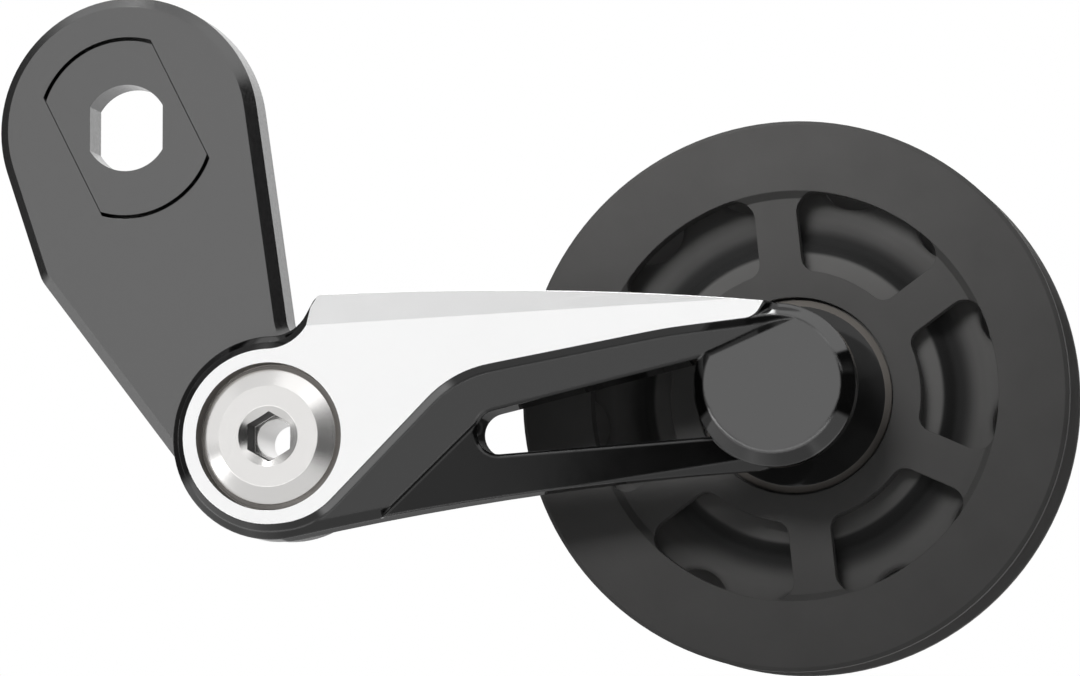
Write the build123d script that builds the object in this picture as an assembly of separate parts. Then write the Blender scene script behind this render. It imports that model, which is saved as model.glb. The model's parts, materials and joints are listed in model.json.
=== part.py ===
from build123d import *

import os
from math import asin, atan2, cos, degrees, pi, radians, sin, tan

# Single-pulley bicycle chain tensioner.
# A bracket clamps on the hub axle, a sprung arm swings on the bracket's pivot bolt, and a
# flanged 13-tooth pulley runs on the arm's boss. Pieces are drawn in plan as seen from outside
# the bicycle, x forward and y up, with heights towards the viewer, and are stood up at the end:
# the axle runs along Y, Z is up, and the origin is on the axle at the bracket's inner face.

# Fits
RUNNING_FIT = 0.05
SEAT_FIT = 0.02
FACE_GAP = 0.05
END_PLAY = 0.15

# The pivot from the axle, and the pulley's axis from the pivot
PIVOT_X = 18.7
PIVOT_Y = -36.8
PULLEY_X = 58.3
PULLEY_Y = 5.1

# Bracket plate
BRACKET_THICKNESS = 6.0
HEAD_RADIUS = 15.4
FOOT_RADIUS = 11.3
RIGHT_EDGE_SLANT = 8.3
CORNER_X = -6.8
CORNER_Y = -15.6
CORNER_RADIUS = 4.0
WAIST_FILLET = 3.0
BRACKET_BEVEL_WIDTH = 1.2
BRACKET_BEVEL_DEPTH = 1.4
POCKET_LIP_THICKNESS = 0.8
POCKET_LIP_WIDTH = 1.0

# Axle insert: a disc with two flats outside, and a hole with two flats inside
INSERT_RADIUS = 10.2
INSERT_FLATS = 14.2
INSERT_FLAT_GAP = 0.08
INSERT_ROUND_GAP = 0.45
AXLE_HOLE_RADIUS = 5.05
AXLE_HOLE_FLATS = 8.7

# Pivot bolt
BOLT_HEAD_RADIUS = 7.75
BOLT_FACE_RADIUS = 5.8
BOLT_HEAD_HEIGHT = 2.3
BOLT_BEVEL_HEIGHT = 0.9
BOLT_SHANK_RADIUS = 4.0
BOLT_BORE_RADIUS = 2.2
BOLT_SOCKET_FLATS = 5.0
BOLT_SOCKET_DEPTH = 4.2
BOLT_SINK_RADIUS = 3.5
BOLT_SINK_DEPTH = 0.8
BOLT_END_RECESS = 0.1

# Pivot washer and bush
WASHER_THICKNESS = 0.6
WASHER_RIM_GAP = 0.2
BUSH_WALL = 0.9

# Stop pin in the bracket, and how far its groove lets the arm swing
STOP_PIN_RADIUS = 0.7
STOP_PIN_ORBIT = 9.0
STOP_PIN_ANGLE = 150.0
STOP_PIN_SEAT = 4.0
STOP_PIN_REACH = 2.2
STOP_GAP = 0.1
STOP_GROOVE_DEPTH = 2.0
ARM_TRAVEL = 75.0

# Torsion spring in a ring-shaped room in the bracket, closed by the arm
WIRE_WIDTH = 1.4
COIL_RADIUS = 6.75
COIL_TURNS = 1.5
COIL_START_ANGLE = 20.0
COIL_SIDE_GAP = 0.15
COIL_END_GAP = 0.1
SPRING_ROOM_DEPTH = 3.4
TANG_LENGTH = 1.2
TANG_GAP = 0.1

# Arm
ARM_GAP = 0.6
ARM_THICKNESS = 5.4
FACE_RISE = 1.0
EYE_RADIUS = 11.7
COUNTERBORE_RADIUS = 8.5
COUNTERBORE_DEPTH = 2.75
RIM_BEVEL = 1.1
SHOULDER_X = 5.1
SHOULDER_Y = 16.3
SHOULDER_SLOPE = 61.0
SHOULDER_ROUND = 1.6
NOTCH_RADIUS = 4.5
TOP_EDGE_BULGE = 0.9
TOP_TANGENT_ANGLE = 85.0
BOTTOM_EDGE_BULGE = 1.1
BOTTOM_TANGENT_ANGLE = -87.0
EYE_TANGENT_ANGLE = -78.0
LEVER_TOP_ROUND = 1.4
LEVER_LOW_ROUND = 3.0

# Machined face of the arm, raised from the painted body behind a small sloping wall
FACE_EYE_RADIUS = 10.05
FACE_WALL_WIDTH = 0.8
FACE_WALL_DEPTH = 0.9
FACE_SHOULDER_BAND = 0.35
FACE_NOTCH_RADIUS = 4.65
FACE_EYE_LEAVE_ANGLE = -85.0
FACE_DIAGONAL_DISTANCE = 10.3
FACE_DIAGONAL_SLOPE = 45.5
FACE_RAIL_X = 33.9
FACE_RAIL_Y = 9.4
FACE_RAIL_SLOPE = 10.3
FACE_RAIL_ROUND = 60.0
FACE_END_SLOPE = 6.2
FACE_TIP_X = 56.75
FACE_TIP_SLOPE = 60.0
FACE_TIP_ROUND = 3.0
FACE_LOW_ROUND = 10.0
FACE_HIGH_ROUND = 12.5
TOP_FACET_X = 10.6
TOP_FACET_Y = 12.9
TOP_FACET_SLOPE = 2.5
TOP_FACET_TILT = 22.0

# Slot in the arm, widening towards the boss, and the lower rail that folds back from its end
SLOT_X = 26.5
SLOT_Y = 0.2
SLOT_SMALL_RADIUS = 2.5
SLOT_LARGE_RADIUS = 5.0
SLOT_LIP = 0.35
FOLD_START_ANGLE = 140.0
FOLD_SLOPE = 43.8
FOLD_TILT = 7.0
FOLD_GROOVE_WIDTH = 0.25
FOLD_GROOVE_DEPTH = 0.15
RAIL_BEVEL_X = 22.0
RAIL_BEVEL_Y = -8.0
RAIL_BEVEL_ANGLE = -77.5
RAIL_BEVEL_TILT = 45.0

# Boss that carries the pulley: a neck, a bevelled rim, a flat cap cut along a chord and a ledge
BOSS_RADIUS = 9.3
NECK_RADIUS = 6.5
CAP_RADIUS = 7.8
CAP_RISE = 1.0
CAP_ROUND = 0.5
BOSS_BEVEL_DEPTH = 1.5
NECK_CONE_DEPTH = 2.8
POCKET_MARGIN = 0.05
LEDGE_DISTANCE = 8.5
LEDGE_ANGLE = 84.4
CAP_CHORD_DISTANCE = 5.7
CAP_CHORD_ANGLE = 113.2
CAP_CHORD_TILT = 45.0

# Toothed core of the pulley
PULLEY_STANDOFF = 15.8
PULLEY_WIDTH = 12.2
TEETH = 13
CHAIN_PITCH = 12.7
ROLLER_RADIUS = 3.88
ROLLER_GAP = 0.07
TOOTH_HEIGHT = 2.5
TOOTH_MOUTH_RADIUS = 7.0
TOOTH_MOUTH_DISTANCE = 6.5
TOOTH_THICKNESS = 2.2
TOOTH_TIP_THICKNESS = 1.2
TOOTH_GAP_ANGLE = 76.0
WEB_RADIUS = 17.0
WEB_THICKNESS = 4.6
WEB_FOOT_RADIUS = 18.2
WEB_FOOT_HEIGHT = 0.8
DISH_RADIUS = 20.1
DISH_HEIGHT = 0.35
DISH_OUTER_RADIUS = 21.9
HUB_RADIUS = 11.4

# Pulley flanges: the front one with six spokes, the rear one closed
FLANGE_RADIUS = 31.8
FLANGE_RING_INNER = 23.7
FLANGE_RIM_THICKNESS = 1.5
FLANGE_RIM_CHAMFER = 0.45
SPOKES = 6
SPOKE_RECESS = 1.0
SPOKE_THICKNESS = 1.8
SPOKE_WIDTH = 4.9
SPOKE_END_RADIUS = 22.9
SPOKE_ANGLE = 96.0
WINDOW_INNER_RADIUS = 14.6
WINDOW_INNER_ROUND = 1.7
WINDOW_OUTER_ROUND = 2.2

# Pulley bush, dust caps and bolt
PULLEY_BUSH_RADIUS = 6.0
PULLEY_BUSH_LENGTH = 8.2
DUST_CAP_THICKNESS = 0.6
DUST_CAP_GAP = 0.25
DUST_CAP_BEVEL_WIDTH = 0.75
DUST_CAP_BEVEL_HEIGHT = 0.35
PULLEY_BOLT_RADIUS = 3.0
PULLEY_BOLT_GRIP = 12.0
PULLEY_BOLT_TIP_GAP = 1.0
PULLEY_BOLT_HEAD_RADIUS = 5.5
PULLEY_BOLT_HEAD_HEIGHT = 2.8
PULLEY_BOLT_CHAMFER = 0.5
PULLEY_BOLT_SOCKET_FLATS = 4.0
PULLEY_BOLT_SOCKET_DEPTH = 1.8

# Heights and radii worked out from the sizes above
ARM_REAR = BRACKET_THICKNESS + ARM_GAP
ARM_BLACK = ARM_REAR + ARM_THICKNESS
ARM_FACE = ARM_BLACK + FACE_RISE
CAP_FACE = ARM_BLACK + CAP_RISE
EYE_FLOOR = ARM_FACE - COUNTERBORE_DEPTH
WASHER_TOP = EYE_FLOOR + FACE_GAP + WASHER_THICKNESS
BOLT_FACE = WASHER_TOP + BOLT_HEAD_HEIGHT
BUSH_BORE = BOLT_SHANK_RADIUS + RUNNING_FIT
BUSH_RADIUS = BUSH_BORE + BUSH_WALL
ROOM_INNER = COIL_RADIUS - WIRE_WIDTH / 2 - COIL_SIDE_GAP
ROOM_OUTER = COIL_RADIUS + WIRE_WIDTH / 2 + COIL_SIDE_GAP
ROOM_LOW = BRACKET_THICKNESS - SPRING_ROOM_DEPTH
COIL_LOW = ROOM_LOW + COIL_END_GAP + WIRE_WIDTH / 2
COIL_HIGH = ARM_REAR - COIL_END_GAP - WIRE_WIDTH / 2
COIL_END_ANGLE = COIL_START_ANGLE - 360 * COIL_TURNS
PULLEY_MIDDLE = CAP_FACE - PULLEY_STANDOFF - PULLEY_WIDTH / 2
BUSH_FRONT = PULLEY_MIDDLE + PULLEY_BUSH_LENGTH / 2
BOSS_END = BUSH_FRONT + DUST_CAP_THICKNESS
COLLAR_BORE = HUB_RADIUS + SEAT_FIT
PITCH_RADIUS = CHAIN_PITCH / (2 * sin(pi / TEETH))
TIP_RADIUS = PITCH_RADIUS + TOOTH_HEIGHT
BRACKET_AXIS = degrees(atan2(PIVOT_Y, PIVOT_X))
REACH = 200.0

AT_PIVOT = Pos(PIVOT_X, PIVOT_Y)
AT_BOSS = Pos(PULLEY_X, PULLEY_Y)
AT_PULLEY = AT_PIVOT * AT_BOSS * Pos(0, 0, PULLEY_MIDDLE)


def polar(radius, angle):
    """Point at an angle in degrees, counter-clockwise from x."""
    return Vector(radius * cos(radians(angle)), radius * sin(radians(angle)))


def crossing(point, angle, other_point, other_angle):
    """Where two lines meet, each given by a point and an angle in degrees."""
    along = polar(1, angle)
    across = polar(1, other_angle + 90)
    return point + along * ((other_point - point).dot(across) / along.dot(across))


def bowed(start, end, bulge):
    """Arc between two points whose middle stands off the chord, to the left of its direction."""
    chord = end - start
    side = Vector(-chord.Y, chord.X).normalized()
    return ThreePointArc(start, (start + end) * 0.5 + side * bulge, end)


def turned(points):
    """Solid of revolution from (radius, height) points in order round its half section."""
    outline = Polyline(*[(r, 0, h) for r, h in points], close=True)
    return revolve(make_face(outline), Axis.Z)


def half_plane(angle, distance):
    """Everything in plan that lies beyond a distance along an angle."""
    return Rot(0, 0, angle) * Pos(distance + REACH / 2, 0) * Rectangle(REACH, REACH)


def ring(inner, outer, low, high):
    """Plain ring between two heights."""
    return turned([(inner, low), (outer, low), (outer, high), (inner, high)])


def prism(sketch, low, high):
    """Sketch extruded between two heights."""
    return Pos(0, 0, low) * extrude(sketch, amount=high - low)


def double_flat(radius, flats, angle):
    """Disc with two flats that run along an angle."""
    return Circle(radius) & (Rot(0, 0, angle) * Rectangle(2 * radius + 1, flats))


def tapered(start, start_radius, end, end_radius):
    """Two discs joined along their outer tangents."""
    axis = end - start
    lean = degrees(asin((start_radius - end_radius) / axis.length))
    direction = degrees(atan2(axis.Y, axis.X))
    left = direction + 90 - lean
    right = direction - 90 + lean
    corners = [
        start + polar(start_radius, left),
        end + polar(end_radius, left),
        end + polar(end_radius, right),
        start + polar(start_radius, right),
    ]
    between = make_face(Polyline(*corners, close=True))
    return between + Pos(start) * Circle(start_radius) + Pos(end) * Circle(end_radius)


def above(origin, angle, tilt):
    """Half space over a plane that falls away along an angle, at a tilt from level."""
    fall = polar(1, angle)
    normal = fall * sin(radians(tilt)) + Vector(0, 0, cos(radians(tilt)))
    plane = Plane(origin, x_dir=polar(1, angle + 90), z_dir=normal)
    return plane * extrude(Rectangle(REACH, REACH), amount=REACH)


def edges_along(part, outline, low, high):
    """Edges that follow an outline in plan, with their middles between two heights."""
    found = []
    for edge in part.edges():
        points = [edge.position_at(share) for share in (0, 0.5, 1)]
        in_plan = [Vector(p.X, p.Y) for p in points]
        moves = (in_plan[1] - in_plan[0]).length > 1e-3
        follows = all(min(o.distance_to(p) for o in outline) < 1e-3 for p in in_plan)
        if moves and follows and low < points[1].Z < high:
            found.append(edge)
    return found


def nearest_vertex(sketch, point):
    """The sketch's corner that lies nearest to a point."""
    return sketch.vertices().sort_by_distance(point)[0]


def hex_prism(flats, low, high):
    """Hexagon prism with corners at its top and bottom."""
    return prism(RegularPolygon(flats / 2, 6, major_radius=False, rotation=30), low, high)


def bracket_outline():
    """Round head, left side with one soft corner, round foot about the pivot."""
    pivot = Vector(PIVOT_X, PIVOT_Y)
    corner = Vector(CORNER_X, CORNER_Y)
    down = polar(1, RIGHT_EDGE_SLANT - 90)
    tangent = polar(HEAD_RADIUS, RIGHT_EDGE_SLANT)
    beside_pivot = tangent + down * (pivot - tangent).dot(down)
    middle = make_face(Polyline((0, 0), tangent, beside_pivot, pivot, corner, close=True))
    upper = tapered(Vector(0, 0), HEAD_RADIUS, corner, CORNER_RADIUS)
    lower = tapered(corner, CORNER_RADIUS, pivot, FOOT_RADIUS)
    plate = middle + upper + lower
    offset = (pivot - beside_pivot).length
    up_the_edge = (FOOT_RADIUS**2 - offset**2) ** 0.5
    waist = nearest_vertex(plate, beside_pivot - down * up_the_edge)
    return fillet(waist, WAIST_FILLET)


def bracket_plate():
    """Plate with a pocket for the axle insert, room for the spring and a tapped hole."""
    outline = bracket_outline()
    plate = prism(outline, 0, BRACKET_THICKNESS)
    front = plate.faces().sort_by(Axis.Z)[-1]
    plate = chamfer(front.edges(), BRACKET_BEVEL_WIDTH, BRACKET_BEVEL_DEPTH, reference=front)
    pocket = double_flat(
        INSERT_RADIUS + INSERT_ROUND_GAP, INSERT_FLATS + 2 * INSERT_FLAT_GAP, BRACKET_AXIS
    )
    opening = double_flat(
        INSERT_RADIUS - POCKET_LIP_WIDTH, INSERT_FLATS - 2 * POCKET_LIP_WIDTH, BRACKET_AXIS
    )
    plate -= prism(pocket, POCKET_LIP_THICKNESS, REACH) + prism(opening, -REACH, REACH)
    pin_hole = prism(
        Circle(STOP_PIN_RADIUS + SEAT_FIT), BRACKET_THICKNESS - STOP_PIN_SEAT, REACH
    )
    plate -= AT_PIVOT * ring(ROOM_INNER, ROOM_OUTER, ROOM_LOW, REACH)
    plate -= AT_PIVOT * prism(Circle(BOLT_SHANK_RADIUS + SEAT_FIT), -REACH, REACH)
    plate -= AT_PIVOT * Pos(polar(STOP_PIN_ORBIT, STOP_PIN_ANGLE)) * pin_hole
    plate -= AT_PIVOT * tang_hole(COIL_START_ANGLE, -REACH, COIL_LOW)
    return plate


def axle_insert():
    """Keyed disc that fits the axle's flats into the bracket's pocket."""
    disc = double_flat(INSERT_RADIUS, INSERT_FLATS, BRACKET_AXIS)
    disc -= double_flat(AXLE_HOLE_RADIUS, AXLE_HOLE_FLATS, 90)
    return prism(disc, POCKET_LIP_THICKNESS, BRACKET_THICKNESS)


def pivot_bolt():
    """Hollow bolt with a broad bevelled head and a countersunk hexagon socket."""
    seat = WASHER_TOP
    bevel_foot = BOLT_FACE - BOLT_BEVEL_HEIGHT
    body = turned([
        (BOLT_BORE_RADIUS, BOLT_END_RECESS),
        (BOLT_SHANK_RADIUS, BOLT_END_RECESS),
        (BOLT_SHANK_RADIUS, seat),
        (BOLT_HEAD_RADIUS, seat),
        (BOLT_HEAD_RADIUS, bevel_foot),
        (BOLT_FACE_RADIUS, BOLT_FACE),
        (BOLT_SINK_RADIUS, BOLT_FACE),
        (BOLT_BORE_RADIUS, BOLT_FACE - BOLT_SINK_DEPTH),
    ])
    return AT_PIVOT * (body - hex_prism(BOLT_SOCKET_FLATS, BOLT_FACE - BOLT_SOCKET_DEPTH, REACH))


def head_washer():
    """Slide washer between the bolt's head and the arm."""
    outer = COUNTERBORE_RADIUS - WASHER_RIM_GAP
    low = EYE_FLOOR + FACE_GAP
    return AT_PIVOT * ring(BOLT_SHANK_RADIUS + RUNNING_FIT, outer, low, WASHER_TOP)


def pivot_bush():
    """Bearing bush pressed into the arm's eye."""
    low = BRACKET_THICKNESS + FACE_GAP
    return AT_PIVOT * ring(BUSH_BORE, BUSH_RADIUS, low, EYE_FLOOR)


def stop_pin():
    """Pin in the bracket that ends the arm's swing both ways."""
    low = BRACKET_THICKNESS - STOP_PIN_SEAT
    pin = prism(Circle(STOP_PIN_RADIUS), low, BRACKET_THICKNESS + STOP_PIN_REACH)
    return AT_PIVOT * Pos(polar(STOP_PIN_ORBIT, STOP_PIN_ANGLE)) * pin


def stop_groove():
    """Arc-shaped groove that the stop pin runs in as the arm swings."""
    half_width = STOP_PIN_RADIUS + STOP_GAP
    path = CenterArc((0, 0), STOP_PIN_ORBIT, STOP_PIN_ANGLE, ARM_TRAVEL)
    return prism(SlotArc(path, 2 * half_width), 0, ARM_REAR + STOP_GROOVE_DEPTH)


def tang_hole(angle, low, high):
    """Square hole for one of the spring's straight ends."""
    width = WIRE_WIDTH + 2 * TANG_GAP
    return Rot(0, 0, angle) * Pos(COIL_RADIUS, 0) * prism(Rectangle(width, width), low, high)


def torsion_spring():
    """Left-hand coil of square wire with a straight end into the bracket and one into the arm."""
    rise = COIL_HIGH - COIL_LOW
    coil_path = Helix(rise / COIL_TURNS, rise, COIL_RADIUS, lefthand=True)
    square = Rectangle(WIRE_WIDTH, WIRE_WIDTH)
    section = Plane(coil_path @ 0, x_dir=(1, 0, 0), z_dir=coil_path % 0) * square
    coil = sweep(section, path=coil_path, is_frenet=True)
    coil = Rot(0, 0, COIL_START_ANGLE) * Pos(0, 0, COIL_LOW) * coil
    low_end = Rot(0, 0, COIL_START_ANGLE) * Pos(COIL_RADIUS, 0)
    high_end = Rot(0, 0, COIL_END_ANGLE) * Pos(COIL_RADIUS, 0)
    low_tang = low_end * prism(square, ROOM_LOW - TANG_LENGTH, COIL_LOW)
    high_tang = high_end * prism(square, COIL_HIGH, ARM_REAR + TANG_LENGTH)
    return AT_PIVOT * (coil + low_tang + high_tang)


def arm_outline():
    """Eye and lever with a notched shoulder in plan from the pivot, ending inside the boss."""
    boss = Vector(PULLEY_X, PULLEY_Y)
    shoulder = Vector(SHOULDER_X, SHOULDER_Y)
    top_end = boss + polar(BOSS_RADIUS, TOP_TANGENT_ANGLE)
    bottom_start = boss + polar(BOSS_RADIUS, BOTTOM_TANGENT_ANGLE)
    bottom_end = polar(EYE_RADIUS, EYE_TANGENT_ANGLE)
    flank_foot = shoulder - polar(SHOULDER_Y / 2, SHOULDER_SLOPE)
    lever = make_face([
        bowed(shoulder, top_end, TOP_EDGE_BULGE),
        Line(top_end, bottom_start),
        bowed(bottom_start, bottom_end, -BOTTOM_EDGE_BULGE),
        Polyline(bottom_end, (0, 0), flank_foot, shoulder),
    ])
    outline = lever + Circle(EYE_RADIUS)
    outline = fillet(nearest_vertex(outline, top_end), LEVER_TOP_ROUND)
    outline = fillet(nearest_vertex(outline, bottom_start), LEVER_LOW_ROUND)
    outline = fillet(nearest_vertex(outline, shoulder), SHOULDER_ROUND)
    return fillet(notch_corner(outline, shoulder, EYE_RADIUS), NOTCH_RADIUS)


def rim_of(outline):
    """The outline's edges without the one that closes it inside the boss."""
    return [edge for edge in outline.edges() if edge.center().X < PULLEY_X]


def notch_corner(sketch, shoulder, eye_radius):
    """The corner where the shoulder's flank runs into the eye."""
    along = polar(1, SHOULDER_SLOPE)
    nearest = shoulder - along * shoulder.dot(along)
    corner = nearest + along * (eye_radius**2 - nearest.length**2) ** 0.5
    return nearest_vertex(sketch, corner)


def face_outline():
    """Foot of the machined face's wall: eye, notch, top, tip and the sweeping lower edge."""
    eye_radius = FACE_EYE_RADIUS + FACE_WALL_WIDTH
    inward = polar(1, SHOULDER_SLOPE - 90)
    shoulder = Vector(SHOULDER_X, SHOULDER_Y) + inward * FACE_SHOULDER_BAND
    overshoot = polar(EYE_RADIUS, SHOULDER_SLOPE)
    eye_leave = polar(eye_radius, FACE_EYE_LEAVE_ANGLE)
    diagonal = polar(FACE_DIAGONAL_DISTANCE + FACE_WALL_WIDTH, FACE_DIAGONAL_SLOPE - 90)
    rail = Vector(FACE_RAIL_X, FACE_RAIL_Y) + polar(FACE_WALL_WIDTH, FACE_RAIL_SLOPE - 90)
    beside_cap = polar(CAP_RADIUS - FACE_WALL_WIDTH, FACE_END_SLOPE + 90)
    end_edge = Vector(PULLEY_X, PULLEY_Y) + beside_cap
    low_bend = crossing(eye_leave, FACE_EYE_LEAVE_ANGLE + 90, diagonal, FACE_DIAGONAL_SLOPE)
    high_bend = crossing(diagonal, FACE_DIAGONAL_SLOPE, rail, FACE_RAIL_SLOPE)
    rail_bend = crossing(rail, FACE_RAIL_SLOPE, end_edge, FACE_END_SLOPE)
    tip = crossing(end_edge, FACE_END_SLOPE, Vector(FACE_TIP_X, 0), 90)
    tip_top = tip + polar(EYE_RADIUS, FACE_TIP_SLOPE)
    lever = make_face(
        Polyline(
            (0, 0), eye_leave, low_bend, high_bend, rail_bend, tip, tip_top, shoulder + overshoot,
            shoulder - polar(SHOULDER_Y / 2, SHOULDER_SLOPE), close=True,
        )
    )
    outline = lever + Circle(eye_radius)
    outline = fillet(nearest_vertex(outline, low_bend), FACE_LOW_ROUND)
    outline = fillet(nearest_vertex(outline, high_bend), FACE_HIGH_ROUND)
    outline = fillet(nearest_vertex(outline, rail_bend), FACE_RAIL_ROUND)
    outline = fillet(nearest_vertex(outline, tip), FACE_TIP_ROUND)
    return fillet(notch_corner(outline, shoulder, eye_radius), FACE_NOTCH_RADIUS)


def raised_face(arm_plan):
    """Machined face on its sloping wall, trimmed to the arm's own outline along the top."""
    outline = face_outline()
    slab = prism(outline, EYE_FLOOR, ARM_FACE)
    top = slab.faces().sort_by(Axis.Z)[-1]
    slab = chamfer(top.edges(), FACE_WALL_WIDTH, FACE_WALL_DEPTH, reference=top)
    return slab & prism(arm_plan, 0, REACH)


def fold_start():
    """Where the fold leaves the slot's round end, in plan."""
    return Vector(SLOT_X, SLOT_Y) + polar(SLOT_SMALL_RADIUS, FOLD_START_ANGLE)


def past_fold(point):
    """How far a point in plan lies beyond the fold, on the lower rail's side."""
    return (point - fold_start()).dot(polar(1, FOLD_SLOPE - 90))


def lower_fold():
    """What the lower rail loses where it folds back from the slot's round end."""
    slot_end = Vector(SLOT_X, SLOT_Y)
    region = make_face(
        Polyline(
            slot_end + polar(REACH, FOLD_START_ANGLE), slot_end, (PULLEY_X, PULLEY_Y),
            (REACH, PULLEY_Y), (REACH, -REACH), (-REACH, -REACH), close=True,
        )
    )
    leant = above(fold_start() + Vector(0, 0, ARM_BLACK), FOLD_SLOPE - 90, FOLD_TILT)
    return prism(region, 0, REACH) & leant


def rail_bevel():
    """What the lower rail's widening bevel takes off, from a point on its rim to the boss."""
    start = Vector(RAIL_BEVEL_X, RAIL_BEVEL_Y)
    height = ARM_BLACK - past_fold(start) * tan(radians(FOLD_TILT))
    return above(start + Vector(0, 0, height), RAIL_BEVEL_ANGLE, RAIL_BEVEL_TILT)


def fold_groove():
    """Fine groove along the fold, from the slot's end to the rim."""
    lane = Pos(REACH / 2, 0) * Rectangle(REACH, FOLD_GROOVE_WIDTH)
    lane = Pos(fold_start()) * Rot(0, 0, FOLD_SLOPE + 180) * lane
    return prism(lane, ARM_BLACK - FOLD_GROOVE_DEPTH, REACH)


def cap_pocket():
    """Sloping-walled room between the cap's chord and the end of the machined face."""
    foot = CAP_RADIUS - FACE_WALL_WIDTH + POCKET_MARGIN
    lane = Pos(-BOSS_RADIUS, 0) * Rectangle(2 * BOSS_RADIUS, 2 * foot)
    floor = Rot(0, 0, FACE_END_SLOPE) * (lane + Circle(foot))
    lean = degrees(atan2(FACE_WALL_WIDTH, CAP_RISE))
    room = Pos(0, 0, ARM_BLACK) * extrude(floor, amount=2 * CAP_RISE, taper=-lean)
    chord = polar(CAP_CHORD_DISTANCE, CAP_CHORD_ANGLE) + Vector(0, 0, CAP_FACE)
    return room & above(chord, CAP_CHORD_ANGLE, CAP_CHORD_TILT)


def boss():
    """Round boss on a neck, with a bevelled rim, a flat cap beside its pocket and a ledge."""
    post = turned([
        (0, BOSS_END),
        (NECK_RADIUS, BOSS_END),
        (NECK_RADIUS, ARM_REAR),
        (BOSS_RADIUS, ARM_REAR + NECK_CONE_DEPTH),
        (BOSS_RADIUS, CAP_FACE - BOSS_BEVEL_DEPTH),
        (CAP_RADIUS, CAP_FACE),
        (0, CAP_FACE),
    ])
    post = fillet(post.edges().group_by(Axis.Z)[-1], CAP_ROUND)
    post -= prism(half_plane(LEDGE_ANGLE, LEDGE_DISTANCE), ARM_BLACK, REACH)
    return AT_BOSS * (post - cap_pocket())


def tension_arm():
    """Painted arm with a machined face, a slotted lever, the pivot eye and the boss."""
    outline = arm_outline()
    slot = tapered(
        Vector(SLOT_X, SLOT_Y), SLOT_SMALL_RADIUS, Vector(PULLEY_X, PULLEY_Y), SLOT_LARGE_RADIUS
    )
    rim = rim_of(outline)
    arm = prism(outline, ARM_REAR, ARM_BLACK)
    arm = chamfer(edges_along(arm, rim, ARM_REAR + RIM_BEVEL, REACH), RIM_BEVEL)
    square_edged = outline & half_plane(FOLD_SLOPE - 90, -past_fold(Vector(0, 0)))
    arm += prism(square_edged, ARM_REAR, ARM_BLACK)
    arm -= prism(slot, 0, REACH) + lower_fold()
    arm = chamfer(edges_along(arm, slot.edges(), ARM_REAR + RIM_BEVEL, REACH), SLOT_LIP)
    arm -= rail_bevel()
    arm -= fold_groove()
    arm += raised_face(outline)
    facet = Vector(TOP_FACET_X, TOP_FACET_Y, ARM_FACE)
    arm -= above(facet, TOP_FACET_SLOPE + 90, TOP_FACET_TILT)
    arm += boss()
    hole_end = BOSS_END + PULLEY_BOLT_GRIP + PULLEY_BOLT_TIP_GAP
    bolt_hole = prism(Circle(PULLEY_BOLT_RADIUS + SEAT_FIT), -REACH, hole_end)
    arm -= AT_BOSS * bolt_hole
    arm -= prism(Circle(COUNTERBORE_RADIUS), EYE_FLOOR, REACH)
    arm -= prism(Circle(BUSH_RADIUS + SEAT_FIT), 0, REACH)
    arm -= stop_groove()
    arm -= tang_hole(COIL_END_ANGLE, 0, ARM_REAR + TANG_LENGTH + TANG_GAP)
    return AT_PIVOT * arm


def spoke_window():
    """One rounded window between two spokes."""
    def corner(radius, spoke, side):
        lean = degrees(asin(SPOKE_WIDTH / 2 / radius))
        return polar(radius, SPOKE_ANGLE + 360 / SPOKES * spoke + side * lean)

    middle = SPOKE_ANGLE + 180 / SPOKES
    inner_start, inner_end = corner(WINDOW_INNER_RADIUS, 0, 1), corner(WINDOW_INNER_RADIUS, 1, -1)
    outer_start, outer_end = corner(FLANGE_RING_INNER, 0, 1), corner(FLANGE_RING_INNER, 1, -1)
    window = make_face([
        ThreePointArc(inner_start, polar(WINDOW_INNER_RADIUS, middle), inner_end),
        Line(inner_end, outer_end),
        ThreePointArc(outer_end, polar(FLANGE_RING_INNER, middle), outer_start),
        Line(outer_start, inner_start),
    ])
    for point in (inner_start, inner_end):
        window = fillet(nearest_vertex(window, point), WINDOW_INNER_ROUND)
    for point in (outer_start, outer_end):
        window = fillet(nearest_vertex(window, point), WINDOW_OUTER_ROUND)
    return window


def front_flange():
    """Flange on the viewer's side: a ring, six spokes and a collar on the hub."""
    front = PULLEY_WIDTH / 2
    spoke_face = front - SPOKE_RECESS
    spoke_back = spoke_face - SPOKE_THICKNESS
    disc = turned([
        (COLLAR_BORE, WEB_THICKNESS / 2),
        (COLLAR_BORE, spoke_face),
        (SPOKE_END_RADIUS, spoke_face),
        (FLANGE_RING_INNER, front),
        (FLANGE_RADIUS - FLANGE_RIM_CHAMFER, front),
        (FLANGE_RADIUS, front - FLANGE_RIM_CHAMFER),
        (FLANGE_RADIUS, front - FLANGE_RIM_THICKNESS),
        (SPOKE_END_RADIUS, spoke_back),
        (WINDOW_INNER_RADIUS, spoke_back),
        (WINDOW_INNER_RADIUS, WEB_THICKNESS / 2),
    ])
    window = prism(spoke_window(), 0, REACH)
    for index in range(SPOKES):
        disc -= Rot(0, 0, 360 / SPOKES * index) * window
    return AT_PULLEY * disc


def rear_flange():
    """Closed flange on the wheel's side, flat behind, with the same collar."""
    back = -PULLEY_WIDTH / 2
    plate = back + SPOKE_RECESS + SPOKE_THICKNESS
    return AT_PULLEY * turned([
        (COLLAR_BORE, -WEB_THICKNESS / 2),
        (WINDOW_INNER_RADIUS, -WEB_THICKNESS / 2),
        (WINDOW_INNER_RADIUS, plate),
        (SPOKE_END_RADIUS, plate),
        (FLANGE_RADIUS, back + FLANGE_RIM_THICKNESS),
        (FLANGE_RADIUS, back + FLANGE_RIM_CHAMFER),
        (FLANGE_RADIUS - FLANGE_RIM_CHAMFER, back),
        (COLLAR_BORE, back),
    ])


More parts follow.
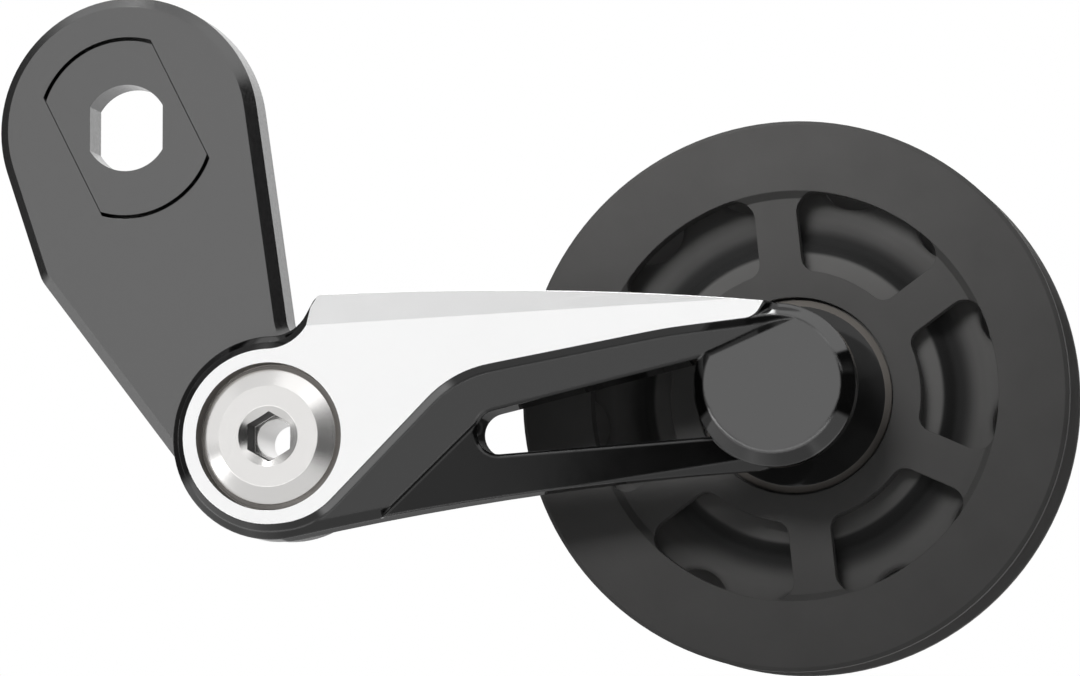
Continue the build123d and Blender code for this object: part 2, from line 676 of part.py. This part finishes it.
def toothed_core():
    """Hub, web and sprocket teeth in one moulding, dished where the front windows show it."""
    hub_end = PULLEY_BUSH_LENGTH / 2 - END_PLAY
    bore = PULLEY_BUSH_RADIUS + RUNNING_FIT
    core = turned([
        (bore, hub_end),
        (HUB_RADIUS, hub_end),
        (HUB_RADIUS, WEB_THICKNESS / 2),
        (WEB_RADIUS, WEB_THICKNESS / 2),
        (WEB_FOOT_RADIUS, WEB_FOOT_HEIGHT),
        (DISH_RADIUS, DISH_HEIGHT),
        (DISH_OUTER_RADIUS, TOOTH_THICKNESS / 2),
        (PITCH_RADIUS, TOOTH_THICKNESS / 2),
        (TIP_RADIUS, TOOTH_TIP_THICKNESS / 2),
        (TIP_RADIUS, -TOOTH_TIP_THICKNESS / 2),
        (PITCH_RADIUS, -TOOTH_THICKNESS / 2),
        (WEB_RADIUS, -TOOTH_THICKNESS / 2),
        (WEB_RADIUS, -WEB_THICKNESS / 2),
        (HUB_RADIUS, -WEB_THICKNESS / 2),
        (HUB_RADIUS, -hub_end),
        (bore, -hub_end),
    ])
    seat = Vector(PITCH_RADIUS, 0)
    mouth = Vector(PITCH_RADIUS + TOOTH_MOUTH_DISTANCE, 0)
    gap = tapered(seat, ROLLER_RADIUS + ROLLER_GAP, mouth, TOOTH_MOUTH_RADIUS)
    cutter = prism(gap, -PULLEY_WIDTH, PULLEY_WIDTH)
    for index in range(TEETH):
        core -= Rot(0, 0, TOOTH_GAP_ANGLE + 360 / TEETH * index) * cutter
    return AT_PULLEY * core


def pulley_bush():
    """Fixed sleeve that the pulley turns on."""
    half = PULLEY_BUSH_LENGTH / 2
    return AT_PULLEY * ring(PULLEY_BOLT_RADIUS + SEAT_FIT, PULLEY_BUSH_RADIUS, -half, half)


def dust_cap():
    """Thin cap with a bevelled rim that closes the front of the hub."""
    low = PULLEY_BUSH_LENGTH / 2
    high = low + DUST_CAP_THICKNESS
    outer = COLLAR_BORE - DUST_CAP_GAP
    inner = PULLEY_BOLT_RADIUS + SEAT_FIT
    return turned([
        (inner, low),
        (outer, low),
        (outer, high - DUST_CAP_BEVEL_HEIGHT),
        (outer - DUST_CAP_BEVEL_WIDTH, high),
        (inner, high),
    ])


def front_dust_cap():
    """Cap clamped between the boss and the pulley's bush."""
    return AT_PULLEY * dust_cap()


def rear_dust_cap():
    """Cap clamped between the pulley's bush and the bolt's head."""
    return AT_PULLEY * mirror(dust_cap(), about=Plane.XY)


def pulley_bolt():
    """Socket-head bolt from the wheel's side through the pulley into the arm's boss."""
    seat = -PULLEY_BUSH_LENGTH / 2 - DUST_CAP_THICKNESS
    face = seat - PULLEY_BOLT_HEAD_HEIGHT
    tip = BOSS_END - PULLEY_MIDDLE + PULLEY_BOLT_GRIP
    bolt = turned([
        (0, face),
        (PULLEY_BOLT_HEAD_RADIUS - PULLEY_BOLT_CHAMFER, face),
        (PULLEY_BOLT_HEAD_RADIUS, face + PULLEY_BOLT_CHAMFER),
        (PULLEY_BOLT_HEAD_RADIUS, seat),
        (PULLEY_BOLT_RADIUS, seat),
        (PULLEY_BOLT_RADIUS, tip),
        (0, tip),
    ])
    socket = hex_prism(PULLEY_BOLT_SOCKET_FLATS, -REACH, face + PULLEY_BOLT_SOCKET_DEPTH)
    return AT_PULLEY * (bolt - socket)


PIECES = [
    bracket_plate, axle_insert, pivot_bolt, head_washer, stop_pin, torsion_spring,
    tension_arm, pivot_bush, pulley_bolt, pulley_bush, front_dust_cap, rear_dust_cap,
    front_flange, toothed_core, rear_flange,
]

os.makedirs("parts", exist_ok=True)
for piece in PIECES:
    standing = Plane.XZ * piece()
    export_step(standing, f"parts/{piece.__name__}.step")
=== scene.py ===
import json
from math import cos, radians, sin

import bpy
from mathutils import Matrix, Vector


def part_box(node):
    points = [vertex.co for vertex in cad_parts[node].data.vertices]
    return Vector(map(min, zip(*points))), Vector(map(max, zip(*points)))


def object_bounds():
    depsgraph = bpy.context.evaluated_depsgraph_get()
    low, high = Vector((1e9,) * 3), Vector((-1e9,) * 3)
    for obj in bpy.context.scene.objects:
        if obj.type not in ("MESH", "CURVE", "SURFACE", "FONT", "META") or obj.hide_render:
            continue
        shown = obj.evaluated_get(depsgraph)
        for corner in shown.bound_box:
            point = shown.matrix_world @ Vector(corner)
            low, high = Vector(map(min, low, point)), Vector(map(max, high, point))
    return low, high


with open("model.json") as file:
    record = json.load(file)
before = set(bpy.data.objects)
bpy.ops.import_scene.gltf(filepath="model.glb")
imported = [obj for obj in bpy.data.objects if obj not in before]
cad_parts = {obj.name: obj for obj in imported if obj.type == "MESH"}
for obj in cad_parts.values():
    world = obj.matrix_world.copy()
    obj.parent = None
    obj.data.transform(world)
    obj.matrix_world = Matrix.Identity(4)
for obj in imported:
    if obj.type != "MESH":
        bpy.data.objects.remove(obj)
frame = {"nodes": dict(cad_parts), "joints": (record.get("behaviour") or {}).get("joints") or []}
CAD_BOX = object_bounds()

# Camera: picture size and focal length in pixels, direction in degrees, the pivot's pixel and distance
IMAGE_WIDTH = 1080
IMAGE_HEIGHT = 676
FOCAL_PIXELS = 7000
SENSOR_WIDTH_MM = 36.0
AZIMUTH = 10.87
ELEVATION = -5.40
PIVOT_PIXEL = (268.2, 436.3)
PIVOT_DEPTH = 0.800

# Floor and lamp, in metres, degrees and watts
FLOOR_DROP = 0.065
FLOOR_SIZE = 4.0
FLOOR_TINT_SIZE = 0.2
KEY_PLACE = (0.02, -0.28, 0.10)
KEY_AIM = (0.055, 0.0, 0.03)
KEY_SIZE = 0.10
KEY_SPREAD = 40.0
KEY_POWER = 0.079

# Levels of light, and the directions along Y where the glow from behind starts and is full
FLOOR_LIFT = 0.6
AMBIENT = 0.2
BACK_GLOW = 1.0
BACK_GLOW_START = 0.2
BACK_GLOW_FULL = 0.8

MM = 0.001

# Limits that pick out the arm's faces that differ from its paint
FACE_DEPTH = 0.05 * MM
FOLD_LINE_DEPTH = 1.15 * MM
TOP_FACET_TILT = 22.0
TOP_FACET_SLOPE = 2.5
COUNTERBORE_RADIUS = 8.6 * MM
CAP_RADIUS = 7.81 * MM
BOSS_RADIUS = 9.6 * MM
LOW_BEVEL_Y = -0.75
LOW_BEVEL_Z = -0.2

# The bolts' sockets
SOCKET_RADIUS = 3.0 * MM
REAR_SOCKET_RADIUS = 2.6 * MM

# Limits on a face's normal: square to the axles, along them, turned to one side, the same as another
SQUARE = 0.999
ALONG = 0.1
TURNED = 0.5
SAME = 0.9995

# Painted shade in the dish of the pulley's core: radii from the hub's axle where it starts, is full, starts
# to clear and has cleared to its share at the rim
DISH_SHADE_RADII = (16.6 * MM, 17.1 * MM, 18.8 * MM, 21.2 * MM)
DISH_SHADE_RIM_SHARE = 0.15

# Material slots of the arm, the bolts, the dust caps and the rear flange
PAINT, METAL, BOSS_SHEEN, CREASE_SHADE, RECESS_SHADE = range(5)
STEEL, SOCKET_SHADE, BORE_LIGHT = range(3)
CAP, RIM_HIGHLIGHT = range(2)
OUTSIDE, PAINTED_LIGHT_INSIDE = range(2)

NODES = frame["nodes"]


def joint_place(name):
    """A joint's point in the rest pose."""
    joint = next(j for j in frame["joints"] if j["name"] == name)
    return Vector(joint["pos_m"])


PIVOT = joint_place("arm_pivot")
HUB = joint_place("pulley_spin")
ARM_FACE_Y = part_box("tension_arm")[0].y


def add_node(tree, kind, **settings):
    """New shader node with its settings."""
    node = tree.nodes.new(kind)
    for key, value in settings.items():
        setattr(node, key, value)
    return node


def join(tree, source, target):
    """Link one socket to another, or set the target to a plain value."""
    if isinstance(source, bpy.types.NodeSocket):
        tree.links.new(source, target)
    else:
        target.default_value = source


def maths(tree, operation, first, second=0.0):
    """Result of one arithmetic node."""
    node = add_node(tree, "ShaderNodeMath", operation=operation)
    join(tree, first, node.inputs[0])
    join(tree, second, node.inputs[1])
    return node.outputs[0]


def combined(tree, operation, values):
    """All the values put together by one arithmetic operation."""
    total = values[0]
    for value in values[1:]:
        total = maths(tree, operation, total, value)
    return total


def ramped(tree, value, start, end, low, high):
    """Value that goes smoothly from low to high as the input goes from start to end."""
    node = add_node(tree, "ShaderNodeMapRange", interpolation_type="SMOOTHSTEP")
    for socket, number in zip(node.inputs, (value, start, end, low, high)):
        join(tree, number, socket)
    return node.outputs[0]


def mixed(tree, share, first, second):
    """Colour between two colours."""
    node = add_node(tree, "ShaderNodeMix", data_type="RGBA")
    join(tree, share, node.inputs["Factor"])
    join(tree, first, node.inputs[6])
    join(tree, second, node.inputs[7])
    return node.outputs[2]


def length_of(tree, vector):
    """Length of a vector."""
    node = add_node(tree, "ShaderNodeVectorMath", operation="LENGTH")
    join(tree, vector, node.inputs[0])
    return node.outputs["Value"]


def object_point(tree, origin=(0, 0, 0), stretch=(1, 1, 1)):
    """Coordinates on the piece in metres from an origin, scaled along each axis."""
    place = add_node(tree, "ShaderNodeTexCoord").outputs["Object"]
    shift = add_node(tree, "ShaderNodeVectorMath", operation="SUBTRACT")
    scale = add_node(tree, "ShaderNodeVectorMath", operation="MULTIPLY")
    join(tree, place, shift.inputs[0])
    shift.inputs[1].default_value = origin
    join(tree, shift.outputs[0], scale.inputs[0])
    scale.inputs[1].default_value = stretch
    return scale.outputs[0]


def from_axle(tree, centre):
    """Distance on the piece from an axle along Y."""
    return length_of(tree, object_point(tree, centre, (1, 0, 1)))


def noise(tree, point, size, detail=3.0):
    """Noise between 0 and 1 with features of a size in metres."""
    node = add_node(tree, "ShaderNodeTexNoise")
    join(tree, point, node.inputs["Vector"])
    node.inputs["Scale"].default_value = 1 / size
    node.inputs["Detail"].default_value = detail
    return node.outputs["Fac"]


def ring_noise(tree, centre, size, detail=2.0):
    """Noise that depends only on the distance from an axle, like the marks of a lathe."""
    node = add_node(tree, "ShaderNodeTexNoise", noise_dimensions="1D")
    join(tree, from_axle(tree, centre), node.inputs["W"])
    node.inputs["Scale"].default_value = 1 / size
    node.inputs["Detail"].default_value = detail
    return node.outputs["Fac"]


def rounded_edges(tree, radius):
    """Normal that turns softly over the piece's edges."""
    node = add_node(tree, "ShaderNodeBevel", samples=6)
    node.inputs["Radius"].default_value = radius
    return node.outputs[0]


def grey(level, warmth=0.0):
    """Grey colour, with a little red added and blue taken away for warmth."""
    return (level * (1 + warmth), level, level * (1 - warmth), 1)


def start_material(name):
    """Material with its node tree and main shader."""
    made = bpy.data.materials.new(name)
    made.use_nodes = True
    tree = made.node_tree
    return made, tree, tree.nodes["Principled BSDF"]


def set_sockets(shader, **values):
    """Plain values on the shader's own sockets, by socket name with _ for spaces."""
    for name, value in values.items():
        shader.inputs[name.replace("_", " ")].default_value = value


def set_colour(tree, shader, pattern, dark, light):
    """Base colour that a pattern varies between two colours."""
    join(tree, mixed(tree, pattern, dark, light), shader.inputs["Base Color"])


def set_roughness(tree, shader, pattern, low, high, start=0.3, end=0.7):
    """Roughness from low to high as a pattern goes from start to end."""
    join(tree, ramped(tree, pattern, start, end, low, high), shader.inputs["Roughness"])


def set_relief(tree, shader, pattern, depth, edge):
    """Relief from a pattern, of a depth in metres, and edges that look rounded to a radius."""
    node = add_node(tree, "ShaderNodeBump")
    node.inputs["Strength"].default_value = 1.0
    node.inputs["Distance"].default_value = depth
    join(tree, pattern, node.inputs["Height"])
    join(tree, rounded_edges(tree, edge), node.inputs["Normal"])
    join(tree, node.outputs[0], shader.inputs["Normal"])


def satin_paint(name, dark, light, edge):
    """Sprayed satin black with a soft mottle and a very fine orange peel."""
    made, tree, shader = start_material(name)
    mottle = noise(tree, object_point(tree), 9 * MM)
    peel = noise(tree, object_point(tree), 0.35 * MM)
    set_colour(tree, shader, mottle, grey(dark), grey(light))
    set_roughness(tree, shader, peel, 0.20, 0.27)
    set_relief(tree, shader, peel, 0.002 * MM, edge)
    set_sockets(shader, IOR=2.2)
    return made


def gloss_paint(name, dark, light, index, edge):
    """Deep gloss black with the slight waviness of a lacquer."""
    made, tree, shader = start_material(name)
    mottle = noise(tree, object_point(tree), 6 * MM)
    wave = noise(tree, object_point(tree), 1.6 * MM, detail=1.0)
    set_colour(tree, shader, mottle, grey(dark), grey(light))
    set_roughness(tree, shader, mottle, 0.04, 0.07)
    set_relief(tree, shader, wave, 0.001 * MM, edge)
    set_sockets(shader, IOR=index)
    return made


def machined_face(name):
    """Bright machined alloy with a fine grain along the arm."""
    made, tree, shader = start_material(name)
    grain = noise(tree, object_point(tree, stretch=(0.03, 1, 1)), 0.12 * MM, detail=4.0)
    cloud = noise(tree, object_point(tree), 12 * MM)
    set_colour(tree, shader, cloud, grey(0.93), grey(0.96))
    set_roughness(tree, shader, grain, 0.18, 0.24, start=0.25, end=0.75)
    set_relief(tree, shader, grain, 0.0012 * MM, edge=0.08 * MM)
    set_sockets(shader, Metallic=1.0)
    return made


def turned_steel(name, dark, light, warmth, roughness, centre):
    """Lathe-turned metal with fine rings about an axle."""
    made, tree, shader = start_material(name)
    rings = ring_noise(tree, centre, 0.06 * MM)
    set_colour(tree, shader, rings, grey(dark, warmth), grey(light, warmth))
    set_roughness(tree, shader, rings, *roughness)
    set_relief(tree, shader, rings, 0.0015 * MM, edge=0.1 * MM)
    set_sockets(shader, Metallic=1.0, Anisotropic=0.5)
    tangent = add_node(tree, "ShaderNodeTangent", direction_type="RADIAL", axis="Y")
    join(tree, tangent.outputs[0], shader.inputs["Tangent"])
    return made


def moulded_resin(name, dark, light, warmth=0.015, edge=0.2 * MM):
    """Fibre-filled matt black plastic with a fine moulded grain."""
    made, tree, shader = start_material(name)
    grain = noise(tree, object_point(tree), 0.16 * MM, detail=4.0)
    flow = noise(tree, object_point(tree), 5 * MM)
    set_colour(tree, shader, flow, grey(dark, warmth), grey(light, warmth))
    set_roughness(tree, shader, grain, 0.48, 0.62)
    set_relief(tree, shader, grain, 0.010 * MM, edge)
    set_sockets(shader, Specular_IOR_Level=0.15)
    return made


def resin_with_painted_dish_shade(name, dark, light, dish_shade):
    """Moulded resin with painted shade in the dish of the pulley's core: a ramp on the distance from the
    axle darkens the colour there.
    """
    made = moulded_resin(name, dark, light, edge=1.2 * MM)
    tree = made.node_tree
    colour = tree.nodes["Principled BSDF"].inputs["Base Color"]
    # Painted shade: the colour darkens towards a dark grey across the dish's radii.
    radius = from_axle(tree, HUB)
    inner = ramped(tree, radius, DISH_SHADE_RADII[0], DISH_SHADE_RADII[1], 0.0, 1.0)
    outer = ramped(tree, radius, DISH_SHADE_RADII[2], DISH_SHADE_RADII[3], 1.0, DISH_SHADE_RIM_SHARE)
    share = maths(tree, "MULTIPLY", inner, outer)
    join(tree, mixed(tree, share, colour.links[0].from_socket, grey(dish_shade)), colour)
    return made


def plain_metal(name, dark, light, roughness):
    """Unpolished metal of the hidden pieces, with faint mottling."""
    made, tree, shader = start_material(name)
    mottle = noise(tree, object_point(tree), 0.8 * MM)
    set_colour(tree, shader, mottle, dark, light)
    set_roughness(tree, shader, mottle, *roughness)
    set_relief(tree, shader, mottle, 0.004 * MM, edge=0.08 * MM)
    set_sockets(shader, Metallic=1.0)
    return made


def dress(node_name, *materials, slot_of=None):
    """Give a node these materials in order, and each face the slot that slot_of picks for it."""
    mesh = NODES[node_name].data
    mesh.materials.clear()
    for made in materials:
        mesh.materials.append(made)
    if slot_of:
        for polygon in mesh.polygons:
            polygon.material_index = slot_of(polygon)


def off_axle(point, centre):
    """Distance of a point from an axle along Y."""
    return Vector((point.x - centre.x, point.z - centre.z)).length


def top_facet_normal():
    """Direction that the arm's tilted upper facet looks."""
    tilt = radians(TOP_FACET_TILT)
    slope = radians(TOP_FACET_SLOPE)
    return Vector((-sin(slope) * sin(tilt), -cos(tilt), cos(slope) * sin(tilt)))


def arm_slot(polygon):
    """Slot of one of the arm's faces, by where it lies and looks."""
    middle = polygon.center
    normal = polygon.normal
    level = normal.y < -SQUARE
    highest = level and middle.y < ARM_FACE_Y + FACE_DEPTH
    floor = level and not highest
    from_hub = off_axle(middle, HUB)
    if highest and from_hub > CAP_RADIUS:
        return METAL
    # Painted shade: the counterbore's faces round the bolt's head get a darker metal than the machined
    # face.
    if off_axle(middle, PIVOT) < COUNTERBORE_RADIUS and middle.y < PIVOT.y:
        return RECESS_SHADE
    if normal.dot(top_facet_normal()) > SAME:
        return METAL
    # Painted shade: level faces at the crease's depth get matt near-black.
    if floor and abs(middle.y - ARM_FACE_Y - FOLD_LINE_DEPTH) < FACE_DEPTH:
        return CREASE_SHADE
    # Painted sheen: the boss, save its level floors and downward bevel, gets a more reflective copy of the
    # paint; the downward bevel keeps the arm's paint as painted shade.
    low_bevel = normal.y > LOW_BEVEL_Y and normal.z < LOW_BEVEL_Z
    return BOSS_SHEEN if from_hub < BOSS_RADIUS and not floor and not low_bevel else PAINT


def is_hole_wall(polygon, centre, radius):
    """Whether a face runs along an axle, within a radius of it."""
    return off_axle(polygon.center, centre) < radius and abs(polygon.normal.y) < ALONG


def pivot_bolt_slot(polygon):
    """Slot of one of the pivot bolt's faces: its socket in front, in painted shade, its bore behind, in
    painted light, or its outside.
    """
    # Painted shade in the sockets and painted light in the pivot bolt's bore.
    hole = BORE_LIGHT if polygon.center.y > PIVOT.y else SOCKET_SHADE
    return hole if is_hole_wall(polygon, PIVOT, SOCKET_RADIUS) else STEEL


def pulley_bolt_slot(polygon):
    """Slot of one of the pulley bolt's faces: its socket, in near-black resin as painted shade, or its
    outside.
    """
    return SOCKET_SHADE if is_hole_wall(polygon, HUB, REAR_SOCKET_RADIUS) else STEEL


def dust_cap_slot(polygon):
    """Slot of one of a dust cap's faces: its flat faces, or its rim, which gets a light warm resin as a
    painted highlight.
    """
    return CAP if abs(polygon.normal.y) > SQUARE else RIM_HIGHLIGHT


def rear_flange_slot(polygon):
    """Slot of one of the rear flange's faces: those that look to the front get a lighter resin, painted
    light on the face that lies in the flanges' shade.
    """
    return PAINTED_LIGHT_INSIDE if polygon.normal.y < -TURNED else OUTSIDE


def dress_arm():
    """Gloss black arm with bright machined faces, a boss in a more reflective copy of the paint as painted
    sheen, and painted shade as matt black on the crease and darker metal in the recess for the bolt's head.
    """
    paint = gloss_paint("arm_gloss", 0.0015, 0.003, 1.65, 0.35 * MM)
    # Painted sheen: a more reflective copy of the arm's paint for the boss.
    boss_sheen = gloss_paint("boss_painted_sheen", 0.001, 0.002, 2.0, 0.5 * MM)
    # Painted shade along the crease, in matt near-black.
    crease_shade = moulded_resin("crease_painted_shade", 0.002, 0.004)
    # Painted shade: darker turned metal for the recess round the bolt's head.
    recess_shade = turned_steel("recess_painted_shade", 0.50, 0.58, 0.04, (0.40, 0.52), PIVOT)
    metal = machined_face("arm_machined")
    dress("tension_arm", paint, metal, boss_sheen, crease_shade, recess_shade, slot_of=arm_slot)


def dress_bolts():
    """Bright turned pivot bolt and plain pulley bolt, with painted shade in their sockets and painted light
    in the pivot bolt's bore, and a plain stop pin.
    """
    bright = turned_steel("bolt_turned", 0.74, 0.84, 0.015, (0.16, 0.26), PIVOT)
    # Painted shade: near-black resin on the sockets' walls.
    socket = moulded_resin("socket_painted_shade", 0.004, 0.008)
    # Painted light: the bore is a paler copy of the bolt's turned steel.
    bore_light = turned_steel("bolt_bore_painted_light", 0.80, 0.90, 0.01, (0.36, 0.46), PIVOT)
    steel = plain_metal("plain_steel", grey(0.46), grey(0.52), (0.3, 0.4))
    dress("pivot_bolt", bright, socket, bore_light, slot_of=pivot_bolt_slot)
    dress("stop_pin", steel)
    dress("pulley_bolt", steel, socket, slot_of=pulley_bolt_slot)


def dress_bracket():
    """Satin black bracket and insert, and the dark washer round the bolt's head."""
    dress("bracket_plate", satin_paint("bracket_satin", 0.003, 0.005, 0.12 * MM))
    dress("axle_insert", satin_paint("insert_satin", 0.003, 0.005, 0.06 * MM))
    dress("head_washer", turned_steel("washer_dark", 0.16, 0.21, 0.05, (0.30, 0.42), PIVOT))


def dress_pulley():
    """Matt flanges round a core made paler against the shade in its windows, with painted shade in the
    core's dish and painted light on the rear flange's inner face.
    """
    flange = moulded_resin("flange_moulded", 0.056, 0.070)
    # Painted light: the rear flange's front-looking faces, shaded by the front flange, get a much lighter
    # copy of the resin.
    painted_light_inside = moulded_resin("flange_inside_painted_light", 0.15, 0.18)
    dress("front_flange", flange)
    dress("rear_flange", flange, painted_light_inside, slot_of=rear_flange_slot)
    # The core's resin is set paler than the flanges', partly to offset the shade in its windows, a painted
    # light, and its dish gets painted shade.
    dress("toothed_core", resin_with_painted_dish_shade("core_moulded", 0.092, 0.112, 0.018))


def dress_dust_caps():
    """Dark gloss caps whose rim is a light warm resin, a painted highlight."""
    dark = gloss_paint("cap_black", 0.018, 0.025, 1.4, 0.1 * MM)
    # Painted highlight: a light warm resin on the caps' chamfered rims.
    rim_highlight = moulded_resin("cap_rim_painted_highlight", 0.10, 0.12, warmth=0.08)
    for name in ("front_dust_cap", "rear_dust_cap"):
        dress(name, dark, rim_highlight, slot_of=dust_cap_slot)


def dress_hidden():
    """Bronze bushes and a plain wire spring."""
    bronze = plain_metal("bush_bronze", (0.42, 0.29, 0.13, 1), (0.55, 0.39, 0.18, 1), (0.35, 0.5))
    for name in ("pivot_bush", "pulley_bush"):
        dress(name, bronze)
    dress("torsion_spring", plain_metal("spring_wire", grey(0.28), grey(0.38), (0.3, 0.42)))


def make_camera():
    """Camera that sees the pivot at its pixel of the picture."""
    turn = radians(AZIMUTH)
    tip = radians(ELEVATION)
    right = Vector((cos(turn), sin(turn), 0))
    forward = Vector((-sin(turn) * cos(tip), cos(turn) * cos(tip), -sin(tip)))
    up = right.cross(forward)
    across = (PIVOT_PIXEL[0] - IMAGE_WIDTH / 2) / FOCAL_PIXELS
    down = (PIVOT_PIXEL[1] - IMAGE_HEIGHT / 2) / FOCAL_PIXELS
    seen = Vector((PIVOT.x, ARM_FACE_Y, PIVOT.z))
    place = seen - (forward + right * across - up * down) * PIVOT_DEPTH
    data = bpy.data.cameras.new("camera")
    data.sensor_fit = "HORIZONTAL"
    data.sensor_width = SENSOR_WIDTH_MM
    data.lens = FOCAL_PIXELS / IMAGE_WIDTH * SENSOR_WIDTH_MM
    camera = bpy.data.objects.new("camera", data)
    turned = Matrix((right, up, -forward)).transposed()
    camera.matrix_world = Matrix.Translation(place) @ turned.to_4x4()
    bpy.context.scene.collection.objects.link(camera)
    bpy.context.scene.camera = camera


def studio_glow(tree, x, y, z):
    """Brightness that polished faces see: a white room with dark cards and a few soft lights.

    x, y and z are a direction's parts. A card or light is the product of the ramps that bound it."""

    def ramp(value, start, end, high=1.0, low=0.0):
        return ramped(tree, value, start, end, low, high)

    front = ramp(y, 0.25, -0.05)
    behind = ramp(y, 0.60, 0.85)
    above = [ramp(z, 0.55, 0.68), ramp(x, -0.25, -0.18, 0.48, 0.20), ramp(x, 0.50, 0.20)]
    slant = maths(tree, "ADD", z, maths(tree, "MULTIPLY", x, 0.5))
    level = add_node(tree, "ShaderNodeCombineXYZ")
    join(tree, x, level.inputs[0])
    join(tree, z, level.inputs[2])
    aside = length_of(tree, level.outputs[0])
    cards = {
        "above, in front": above + [ramp(y, -0.10, -0.25)],
        "above, behind": above + [ramp(y, 0.12, 0.22)],
        "left": [ramp(x, -0.45, -0.75, 0.90), ramp(y, -0.45, -0.15), ramp(z, -0.35, -0.20)],
        "right": [ramp(x, 0.30, 0.68, 0.98), ramp(z, 0.56, 0.53), ramp(z, -0.45, -0.35)],
        "in front, a band below the level": [
            front,
            ramp(z, -0.03, -0.06),
            ramp(z, -0.25, -0.16),
            ramp(x, -0.0185, -0.0145, 0.98, 0.58),
        ],
        "in front, low": [front, ramp(z, -0.20, -0.40, 0.25), ramp(z, -0.93, -0.80)],
        "under": [ramp(z, -0.85, -0.93), ramp(x, -0.60, 0.0, 0.45)],
        "behind, lower": [
            behind,
            ramp(z, 0.02, -0.04),
            ramp(x, -0.214, -0.206, 0.85, 0.55),
            ramp(aside, 0.268, 0.252),
        ],
        "behind, upper": [
            behind,
            ramp(z, -0.04, 0.0),
            ramp(x, -0.19, -0.16),
            ramp(aside, 0.236, 0.222, 0.95),
        ],
    }
    lights = {
        "in front, slanting strip": [
            ramp(y, -0.10, -0.25),
            ramp(slant, 0.70, 0.77, 0.9),
            ramp(slant, 0.90, 0.82),
        ],
        "in front, low on the left": [
            ramp(y, -0.30, -0.50),
            ramp(x, 0.45, 0.30, 2.0),
            ramp(z, -0.16, -0.20),
            ramp(z, -0.38, -0.32),
        ],
        "low on the right": [
            ramp(y, -0.14, -0.11),
            ramp(y, 0.10, 0.0),
            ramp(x, 0.35, 0.50, 1.5),
            ramp(z, -0.45, -0.60),
        ],
        "behind, round the upper card": [behind, ramp(z, 0.0, 0.06, 0.35), ramp(aside, 0.222, 0.236)],
        "overhead strip": [
            ramp(z, 0.75, 0.82, 6.0),
            ramp(x, -0.26, -0.22),
            ramp(x, -0.11, -0.15),
            ramp(y, -0.45, -0.35),
            ramp(y, 0.22, 0.12),
        ],
    }
    shade = combined(tree, "MAXIMUM", [combined(tree, "MULTIPLY", card) for card in cards.values()])
    glow = combined(tree, "ADD", [combined(tree, "MULTIPLY", light) for light in lights.values()])
    return maths(tree, "ADD", maths(tree, "SUBTRACT", 1.0, shade), glow)


def make_world():
    """White to the camera, the studio to polished faces, soft light to the rest, most of it from behind."""
    world = bpy.data.worlds.new("studio")
    world.use_nodes = True
    bpy.context.scene.world = world
    tree = world.node_tree
    background = tree.nodes["Background"]
    path = add_node(tree, "ShaderNodeLightPath")
    direction = add_node(tree, "ShaderNodeTexCoord").outputs["Generated"]
    seen = maths(tree, "MAXIMUM", path.outputs["Is Camera Ray"], path.outputs["Is Transmission Ray"])
    glossy = path.outputs["Is Glossy Ray"]
    split = add_node(tree, "ShaderNodeSeparateXYZ")
    join(tree, direction, split.inputs[0])
    x, y, z = split.outputs
    around = ramped(tree, y, BACK_GLOW_START, BACK_GLOW_FULL, AMBIENT, AMBIENT + BACK_GLOW)
    lit = mixed(tree, glossy, around, studio_glow(tree, x, y, z))
    join(tree, mixed(tree, seen, lit, grey(1.0)), background.inputs["Color"])


def make_floor():
    """Pale floor under the part, which keeps its shadow."""
    half = FLOOR_SIZE / 2
    level = CAD_BOX[0][2] - FLOOR_DROP
    corners = [(-half, -half, level), (half, -half, level), (half, half, level), (-half, half, level)]
    mesh = bpy.data.meshes.new("floor")
    mesh.from_pydata(corners, [], [(0, 1, 2, 3)])
    floor = bpy.data.objects.new("floor", mesh)
    bpy.context.scene.collection.objects.link(floor)
    made, tree, shader = start_material("floor_pale")
    tint = noise(tree, object_point(tree), FLOOR_TINT_SIZE)
    set_colour(tree, shader, tint, grey(0.84), grey(0.88))
    set_sockets(shader, Roughness=0.9, Specular_IOR_Level=0.0, Emission_Color=grey(FLOOR_LIFT))
    path = add_node(tree, "ShaderNodeLightPath")
    join(tree, path.outputs["Is Camera Ray"], shader.inputs["Emission Strength"])
    mesh.materials.append(made)
    floor.visible_glossy = False


def make_lamp():
    """One soft key from above, in front and to the left, that fades towards the lower right."""
    data = bpy.data.lights.new("key", "AREA")
    data.shape = "SQUARE"
    data.size = KEY_SIZE
    data.spread = radians(KEY_SPREAD)
    data.energy = KEY_POWER
    lamp = bpy.data.objects.new("key", data)
    lamp.location = KEY_PLACE
    lamp.rotation_euler = (Vector(KEY_AIM) - Vector(KEY_PLACE)).to_track_quat("-Z", "Y").to_euler()
    lamp.visible_glossy = False
    bpy.context.scene.collection.objects.link(lamp)


dress_arm()
dress_bolts()
dress_bracket()
dress_pulley()
dress_dust_caps()
dress_hidden()
make_camera()
make_world()
make_floor()
make_lamp()
bpy.context.scene.view_settings.view_transform = "Standard"
